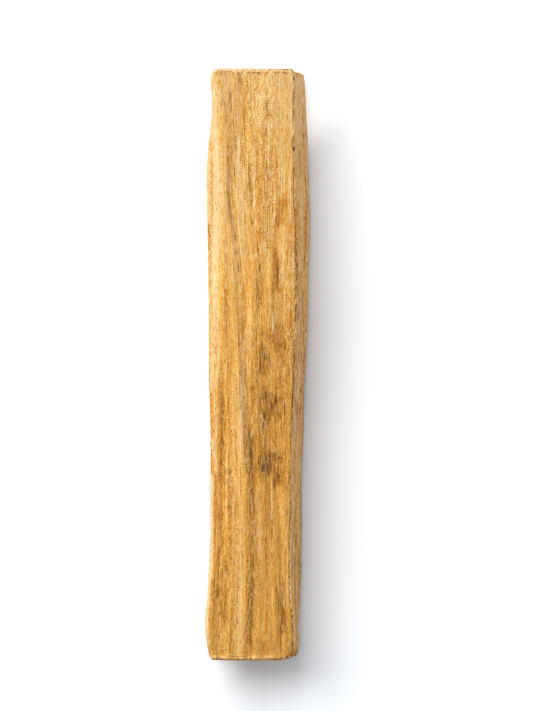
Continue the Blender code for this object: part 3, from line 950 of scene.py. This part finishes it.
def streaked(tree, colour, layers, cream):
    # each kind of streak over the colour, with edges that the grain makes ragged, and cream last
    patchy = calc(tree, "MULTIPLY_ADD", layers["flecks"], woodLook["raggedFlecks"], layers["lines"])
    patchy = calc(tree, "MULTIPLY_ADD", layers["fuzz"], woodLook["raggedFuzz"], patchy)
    for name, (tint, raggedness) in streakTints.items():
        source = readAttribute(tree, name).outputs["Fac"]
        ragged = calc(tree, "MULTIPLY", patchy, remap(tree, source, *woodRanges["raggedness"]))
        share = calc(tree, "SUBTRACT", source, calc(tree, "MULTIPLY", ragged, raggedness))
        share = remap(tree, share, *woodRanges["streaks"])
        colour = mixed(tree, share, colour, multiplied(tree, colour, tint))
    ragged = calc(tree, "MULTIPLY", patchy, remap(tree, cream, *woodRanges["raggedness"]))
    share = calc(tree, "MULTIPLY_ADD", ragged, woodLook["raggedCream"], cream)
    return mixed(tree, remap(tree, share, *woodRanges["cream"]), colour, woodColours["cream"])


def woodMaterial():
    material = bpy.data.materials.new("palo_santo_wood")
    material.use_nodes = True
    tree = material.node_tree
    shader = tree.nodes["Principled BSDF"]
    turned = tree.nodes.new("ShaderNodeVectorRotate")
    turned.rotation_type = "Y_AXIS"
    wire(tree, readAttribute(tree, "grain").outputs["Vector"], turned.inputs["Vector"])
    turned.inputs["Angle"].default_value = woodLook["turn"]
    place = wandering(tree, turned.outputs[0], *woodLook["wandering"])
    parts = tree.nodes.new("ShaderNodeSeparateXYZ")
    wire(tree, place, parts.inputs[0])
    along = parts.outputs[1]
    kinds = ("edge", "shadedSide", "cream", "sawnEnd")
    edge, shadedSide, cream, sawnEnd = (readAttribute(tree, kind).outputs["Fac"] for kind in kinds)
    layers, tone, height = grainTone(tree, place, along, edge, shadedSide)
    colour = ramped(tree, tone, [(stop, woodColours[name]) for name, stop in woodStops.items()])
    hue = remap(tree, noiseAlong(tree, place, *woodNoises["hue"]), *woodRanges["hue"])
    colour = multiplied(tree, colour, mixed(tree, hue, *woodTints["hue"]))
    yellower = remap(tree, along, *woodRanges["yellower"])
    colour = multiplied(tree, colour, mixed(tree, yellower, *woodTints["yellower"]))
    colour = streaked(tree, colour, layers, cream)
    # painted cool shade on the right-facing side, which the lamps leave in shade, less on its worn edges
    sideShadeTint = mixed(tree, remap(tree, along, *woodRanges["sideShadeAlong"]), *woodTints["sideShade"])
    sideShadeShare = calc(tree, "MULTIPLY", shadedSide, remap(tree, edge, *woodRanges["sideShadeEdge"]))
    colour = mixed(tree, sideShadeShare, colour, multiplied(tree, colour, sideShadeTint))
    colour = mixed(tree, sawnEnd, colour, sawnColour(tree, colour, parts))
    cells = cellsAlong(tree, place, *woodCells["pores"])
    pores = calc(tree, "MULTIPLY", remap(tree, cells.outputs["Distance"], *woodRanges["pores"]),
                 remap(tree, cells.outputs["Color"], *woodRanges["chosenPores"]))
    pores = calc(tree, "MULTIPLY", pores, remap(tree, cream, *woodRanges["creamPores"]))
    colour = mixed(tree, calc(tree, "MULTIPLY", pores, woodLook["poreShade"]), colour, woodColours["umber"])
    gaps = remap(tree, noiseAlong(tree, place, *woodNoises["gaps"]), *woodRanges["gaps"])
    shown = calc(tree, "SUBTRACT", 1.0, calc(tree, "MAXIMUM", gaps, sawnEnd))
    threads = calc(tree, "MULTIPLY", threadLines(tree, place), shown)
    threadColour = remap(tree, along, *woodRanges["threadsAlong"])
    threadColour = mixed(tree, threadColour, woodColours["pale"], woodColours["cream"])
    colour = mixed(tree, calc(tree, "MULTIPLY", threads, woodLook["threadShade"]), colour, threadColour)
    wire(tree, colour, shader.inputs["Base Color"])
    wire(tree, remap(tree, layers["strands"], *woodRanges["roughness"]), shader.inputs["Roughness"])
    shader.inputs["Specular IOR Level"].default_value = woodLook["specular"]
    height = calc(tree, "MULTIPLY_ADD", threads, woodLook["threadHeight"], height)
    height = calc(tree, "MULTIPLY_ADD", pores, woodLook["poreHeight"], height)
    addBump(tree, shader, height, woodLook["bump"])
    return material


def addBump(tree, shader, height, depth):
    bump = tree.nodes.new("ShaderNodeBump")
    bump.inputs["Strength"].default_value = 1.0
    bump.inputs["Distance"].default_value = depth * mm
    wire(tree, height, bump.inputs["Height"])
    tree.links.new(bump.outputs[0], shader.inputs["Normal"])


# Loose fibres: forms drawn along y in a length of 1, as (along, aside, lift), and how they are scattered
fibres = {
    "thickness": 0.060,       # half, as a share of the length
    "forms": (
        ((-0.5, 0.0, -0.10), (-0.2, 0.06, 0.05), (0.15, 0.0, 0.08), (0.5, -0.12, 0.03)),
        ((-0.5, 0.0, -0.10), (-0.1, -0.08, 0.06), (0.3, 0.10, 0.14), (0.42, 0.32, 0.16)),
        ((-0.4, 0.25, -0.08), (-0.35, -0.05, 0.06), (0.1, -0.12, 0.08), (0.5, 0.12, -0.05)),
        ((-0.5, 0.1, -0.08), (0.0, 0.1, 0.08), (0.45, -0.1, 0.18), (0.25, -0.35, 0.20)),
    ),
    "tips": 0.4,              # how thick the two ends are, as a share of the rest
    "merge": 0.02,            # doubles within this share of the thickness are one point
    "count": 950,
    "rimCount": 150,
    "sides": (0.3, 1.0),      # most that a side looks along the grain, and its lowest place
    "rims": (49.2, 10.5, 0.3),    # least place along, height and look upwards of the rims
    "chances": (0.25, 0.4, 0.35),     # of a fibre on a side, more of it high up, more of it at the near half
    "chanceLimits": (10, 5),  # high is above this height, and near is below this place along
    "lengths": (0.3, 0.95),
    "leaning": 22.0,          # degrees either way from the grain
    "rimLeaning": 3.0,        # times that on the rims
    "curlLift": (0.4, 1.2),   # of a curl's ends and of the rest, in thicknesses
    "above": 20.0,            # higher than any part of the stick
    "seed": 7,
}

# Longer fibres and curls on the top: a half thickness in millimetres, then a run of (across, along)
curls = (
    (0.06, (-6.5, -49.2), (-6.7, -48.6), (-6.2, -48.1), (-5.4, -48.0), (-5.0, -48.3)),
    (0.04, (-3.8, -19.4), (-3.6, -21.0), (-4.0, -22.8), (-3.9, -24.2), (-4.2, -25.6)),
    (0.10, (0.55, -8.6), (0.9, -9.3), (1.5, -10.4)),
    (0.07, (0.6, -8.6), (0.5, -9.5), (0.9, -10.6)),
    (0.05, (3.3, -43.3), (3.5, -44.2), (4.0, -44.5)),
    (0.05, (3.7, -42.6), (4.1, -43.6), (3.7, -44.6)),
    (0.05, (0.2, -41.2), (0.5, -41.9), (0.4, -42.6)),
    (0.05, (-7.2, -37.4), (-7.0, -38.2), (-6.4, -38.4)),
    (0.05, (-7.1, 26.9), (-6.8, 26.2), (-6.3, 25.9)),
    (0.05, (-6.3, 27.4), (-6.4, 26.6), (-6.7, 25.4)),
    (0.05, (1.3, 35.3), (1.5, 34.5), (1.2, 33.2)),
    (0.07, (-4.6, 31.3), (-4.65, 30.4), (-4.5, 29.6)),
    (0.06, (-4.3, 18.6), (-4.2, 17.8), (-4.35, 16.9)),
    (0.07, (-1.0, -11.2), (-0.85, -11.7), (-1.0, -12.3)),
    (0.06, (4.7, -30.0), (4.85, -30.6), (4.7, -31.3)),
    (0.07, (1.5, 47.0), (1.8, 46.3), (1.5, 45.6)),
    (0.07, (-3.9, -49.2), (-3.3, -49.4), (-2.8, -49.2)),
    (0.09, (-5.6, -49.5), (-5.0, -49.0), (-4.4, -49.1), (-3.9, -49.5)),
    (0.06, (-4.9, -49.5), (-4.4, -49.1), (-4.5, -48.7)),
    (0.06, (-2.6, -49.5), (-2.2, -49.0), (-1.7, -49.3)),
    (0.06, (0.3, -49.6), (0.7, -49.1), (1.3, -49.2)),
    (0.06, (2.6, -49.6), (3.0, -49.2), (3.2, -48.7)),
    (0.06, (5.0, -49.2), (5.3, -48.8), (5.9, -48.8)),
    (0.07, (-1.5, -49.6), (-1.0, -49.4), (-0.5, -49.6)),
    (0.07, (1.2, -49.4), (1.9, -49.6), (2.3, -49.4)),
    (0.07, (3.5, -49.1), (4.1, -49.3), (4.7, -49.0)),
    (0.08, (-6.2, 49.4), (-5.2, 49.6), (-4.4, 49.55)),
    (0.08, (-1.9, 49.4), (-1.0, 49.5), (0.0, 49.4), (0.9, 49.5)),
    (0.08, (3.2, 49.4), (4.0, 49.5), (4.8, 49.4)),
)


def fibreTube(name, points, thickness):
    # a thin closed tube through points that tapers at both ends
    deselectAll()
    bpy.ops.curve.primitive_nurbs_path_add(location=(0, 0, 0))
    path = bpy.context.object
    path.name = name
    path.data.splines.clear()
    spline = path.data.splines.new("NURBS")
    spline.points.add(len(points) - 1)
    for index, point in enumerate(points):
        spline.points[index].co = (*point, 1.0)
        spline.points[index].radius = fibres["tips"] if index in (0, len(points) - 1) else 1.0
    spline.order_u = 3
    spline.use_endpoint_u = True
    spline.resolution_u = 2
    path.data.dimensions = "3D"
    path.data.bevel_depth = thickness
    path.data.bevel_resolution = 0
    path.data.use_fill_caps = True
    bpy.ops.object.convert(target="MESH")
    makeActive(bpy.context.object)
    bpy.ops.object.mode_set(mode="EDIT")
    bpy.ops.mesh.select_all(action="SELECT")
    bpy.ops.mesh.remove_doubles(threshold=thickness * fibres["merge"])
    bpy.ops.mesh.normals_make_consistent(inside=False)
    bpy.ops.object.mode_set(mode="OBJECT")
    return bpy.context.object


def placedFibre(form, place, normal, length, turn):
    # a copy of a form whose own mesh lies on the surface, turned a little from the grain
    along = Vector((math.sin(turn), math.cos(turn), 0.0))
    aside = along.cross(normal).normalized()
    along = normal.cross(aside)
    size = length * mm
    lie = Matrix((aside * size, along * size, normal * size)).transposed().to_4x4()
    lie.translation = place
    piece = form.copy()
    piece.data = form.data.copy()
    piece.data.transform(lie)
    bpy.context.scene.collection.objects.link(piece)
    return piece


def scattered(body, forms):
    # short fibres on the sides and, leaning more, on the rims
    chance = random.Random(fibres["seed"])
    places, normals = readPlaces(body)
    steepest, lowest = fibres["sides"]
    side = np.where((np.abs(normals[:, 1]) < steepest) & (places[:, 2] > lowest))[0]
    farthest, highest, level = fibres["rims"]
    rim = (np.abs(places[:, 1]) > farthest) & (places[:, 2] > highest) & (normals[:, 2] > level)
    rim = np.where(rim)[0]
    anywhere, ifHigh, ifNear = fibres["chances"]
    high, near = fibres["chanceLimits"]
    pieces = []
    for chosen, count in ((side, fibres["count"]), (rim, fibres["rimCount"])):
        while count > 0:
            index = chosen[chance.randrange(len(chosen))]
            y, z = places[index, 1:]
            if chosen is side and chance.random() > anywhere + ifHigh * (z > high) + ifNear * (y < near):
                continue
            leaning = fibres["leaning"] * (1.0 if chosen is side else fibres["rimLeaning"])
            turn = math.radians(chance.gauss(0, leaning)) + math.pi * chance.randrange(2)
            length = chance.uniform(*fibres["lengths"])
            form = forms[chance.randrange(len(forms))]
            pieces.append(placedFibre(form, Vector(places[index] * mm), Vector(normals[index]), length, turn))
            count -= 1
    return pieces


def laidCurl(body, name, thickness, run):
    # a curl over the places of its run, with its ends down on the wood
    points = []
    atEnds, between = fibres["curlLift"]
    for step, (x, y) in enumerate(run):
        place = body.ray_cast((x * mm, y * mm, fibres["above"] * mm), (0, 0, -1))[1]
        lift = thickness * (atEnds if step in (0, len(run) - 1) else between)
        points.append(tuple(place + Vector((0, 0, lift * mm))))
    return fibreTube(name, points, thickness * mm)


def looseFibres(body):
    forms = []
    for index, form in enumerate(fibres["forms"]):
        points = [(aside, along, lift) for along, aside, lift in form]
        forms.append(fibreTube(f"fibre_form_{index}", points, fibres["thickness"]))
    pieces = scattered(body, forms)
    for form in forms:
        bpy.data.objects.remove(form)
    for index, (thickness, *run) in enumerate(curls):
        pieces.append(laidCurl(body, f"curl_{index}", thickness, run))
    deselectAll()
    for piece in pieces:
        piece.select_set(True)
    bpy.context.view_layer.objects.active = pieces[0]
    bpy.ops.object.join()
    joined = bpy.context.object
    joined.name = joined.data.name = "loose_fibres"
    joined.data.materials.clear()
    joined.data.materials.append(fibreMaterial())
    bpy.ops.object.shade_smooth()
    return joined


# The fibres' patterns, as those of the wood, the values between which they change, and how much each adds
fibreLook = {
    "broad": (2.5, 6.0, 4.0, 2.0),
    "fine": (0.06, 0.3, 14.0, 2.0),
    "broadTone": 1.4,
    "fineTone": 0.6,
    "along": (-35.0, 20.0, -0.25, 0.05),
    "tone": (0.6, 1.4),
    "stops": {"gold": 0.2, "pale": 0.6, "cream": 0.95},
    "roughness": (0.3, 0.7, 0.6, 0.85),
    "specular": 0.25,
    "bump": 0.02,             # millimetres
}


def fibreMaterial():
    material = bpy.data.materials.new("loose_fibre")
    material.use_nodes = True
    tree = material.node_tree
    shader = tree.nodes["Principled BSDF"]
    coordinates = tree.nodes.new("ShaderNodeTexCoord")
    place = tree.nodes.new("ShaderNodeVectorMath")
    place.operation = "SCALE"
    wire(tree, coordinates.outputs["Object"], place.inputs[0])
    place.inputs["Scale"].default_value = 1 / mm
    broad = noiseAlong(tree, place.outputs[0], *fibreLook["broad"])
    fine = noiseAlong(tree, place.outputs[0], *fibreLook["fine"])
    parts = tree.nodes.new("ShaderNodeSeparateXYZ")
    wire(tree, place.outputs[0], parts.inputs[0])
    tone = calc(tree, "MULTIPLY", broad, fibreLook["broadTone"])
    tone = calc(tree, "MULTIPLY_ADD", fine, fibreLook["fineTone"], tone)
    tone = calc(tree, "ADD", tone, remap(tree, parts.outputs[1], *fibreLook["along"]))
    stops = [(stop, woodColours[name]) for name, stop in fibreLook["stops"].items()]
    wire(tree, ramped(tree, remap(tree, tone, *fibreLook["tone"]), stops), shader.inputs["Base Color"])
    wire(tree, remap(tree, fine, *fibreLook["roughness"]), shader.inputs["Roughness"])
    shader.inputs["Specular IOR Level"].default_value = fibreLook["specular"]
    addBump(tree, shader, fine, fibreLook["bump"])
    return material


# Floor, light and camera
studio = {
    "floorSize": 3.0,         # metres
    "floorDrop": 0.02,        # millimetres below the stick
    "floorRoughness": 0.9,
    "floorTone": (0.863, 0.879, 0.882),
    "skyColour": (0.94, 0.985, 1.07),
    "skyStrength": 0.54,
    "sunStrength": 4.06,
    "sunAcross": 35.5,        # degrees towards the left
    "sunAlong": 44.0,         # and towards the far end
    "sunWidth": 60.0,         # degrees, for soft shadow edges
    "pictureSize": (533, 711),
    "middlePixel": (257.5, 364.5),
    "pixelsPerMillimetre": 5.92,
    "filmWidth": 36.0,        # along the picture's longer side
    "clipStart": 0.01,        # metres
    "fillHeight": 200.0,      # millimetres, of the soft spots over the floor
    "fillNarrow": 0.72,       # their width across as a share of their length along
    "fillLamp": 2.0,          # radius of their lamps in millimetres
}

# Soft spots on the floor alone, which open up its shadow: where each is aimed, as (across, along), its radius
# there and its strength
floorFills = (
    ((7.2, 45.8), 10.7, 0.43),
    ((-5.1, -50.8), 3.9, 0.24),
    ((6.5, -58.4), 8.9, 0.11),
)


def setFloor():
    deselectAll()
    bpy.ops.mesh.primitive_plane_add(size=studio["floorSize"], location=(0, 0, -studio["floorDrop"] * mm))
    floor = bpy.context.object
    floor.name = "studio_floor"
    material = bpy.data.materials.new("floor_paper")
    material.use_nodes = True
    shader = material.node_tree.nodes["Principled BSDF"]
    shader.inputs["Base Color"].default_value = (*studio["floorTone"], 1.0)
    shader.inputs["Roughness"].default_value = studio["floorRoughness"]
    shader.inputs["Specular IOR Level"].default_value = 0.0
    floor.data.materials.append(material)
    return floor


def setLight():
    world = bpy.data.worlds.new("studio_sky")
    bpy.context.scene.world = world
    world.use_nodes = True
    sky = world.node_tree.nodes["Background"]
    sky.inputs["Color"].default_value = (*studio["skyColour"], 1.0)
    sky.inputs["Strength"].default_value = studio["skyStrength"]
    deselectAll()
    across, along = math.radians(studio["sunAcross"]), math.radians(studio["sunAlong"])
    towards = Vector((-math.tan(across), math.tan(along), 1.0)).normalized()
    bpy.ops.object.light_add(type="SUN", location=towards)
    sun = bpy.context.object
    sun.name = "soft_key"
    sun.rotation_euler = towards.to_track_quat("Z", "Y").to_euler()
    sun.data.energy = studio["sunStrength"]
    sun.data.angle = math.radians(studio["sunWidth"])


def setFills(floor):
    onlyFloor = bpy.data.collections.new("only_floor")
    onlyFloor.objects.link(floor)
    height = studio["fillHeight"]
    for index, ((across, along), radius, strength) in enumerate(floorFills):
        deselectAll()
        bpy.ops.object.light_add(type="SPOT", location=(across * mm, along * mm, height * mm))
        fill = bpy.context.object
        fill.name = f"floor_fill_{index}"
        fill.scale.x = studio["fillNarrow"]
        fill.data.energy = strength * (2 * math.pi * height * mm) ** 2
        fill.data.spot_size = 2 * math.atan(radius / height)
        fill.data.spot_blend = 1.0
        fill.data.shadow_soft_size = studio["fillLamp"] * mm
        fill.light_linking.receiver_collection = onlyFloor


def setCamera():
    width, height = studio["pictureSize"]
    lens = studio["pixelsPerMillimetre"] * stick["cameraHeight"] / height * studio["filmWidth"]
    acrossPixel, alongPixel = studio["middlePixel"]
    across = (width / 2 - acrossPixel) / studio["pixelsPerMillimetre"] + stick["photoShift"]
    along = (alongPixel - height / 2) / studio["pixelsPerMillimetre"]
    deselectAll()
    above = stick["topLevel"] + stick["cameraHeight"]
    bpy.ops.object.camera_add(location=(across * mm, along * mm, above * mm), rotation=(0, 0, 0))
    camera = bpy.context.object
    camera.name = "camera_above"
    camera.data.lens = lens
    camera.data.sensor_width = studio["filmWidth"]
    camera.data.clip_start = studio["clipStart"]
    bpy.context.scene.camera = camera


print("wood: remeshing the solid")
body = woodBody()
print("wood: faces", len(body.data.polygons))
paintGrain(body)
raiseRelief(body)
keepInsideBox(body)
body.data.materials.clear()
body.data.materials.append(woodMaterial())
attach(body, "root")
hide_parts("palo_santo_stick")
print("fibres: scattering them along the grain")
loose = looseFibres(body)
keepInsideBox(loose)
print("fibres: faces", len(loose.data.polygons))
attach(loose, "root")
print("studio: floor, light and camera")
floor = setFloor()
setLight()
setFills(floor)
setCamera()
bpy.context.scene.view_settings.view_transform = "Standard"
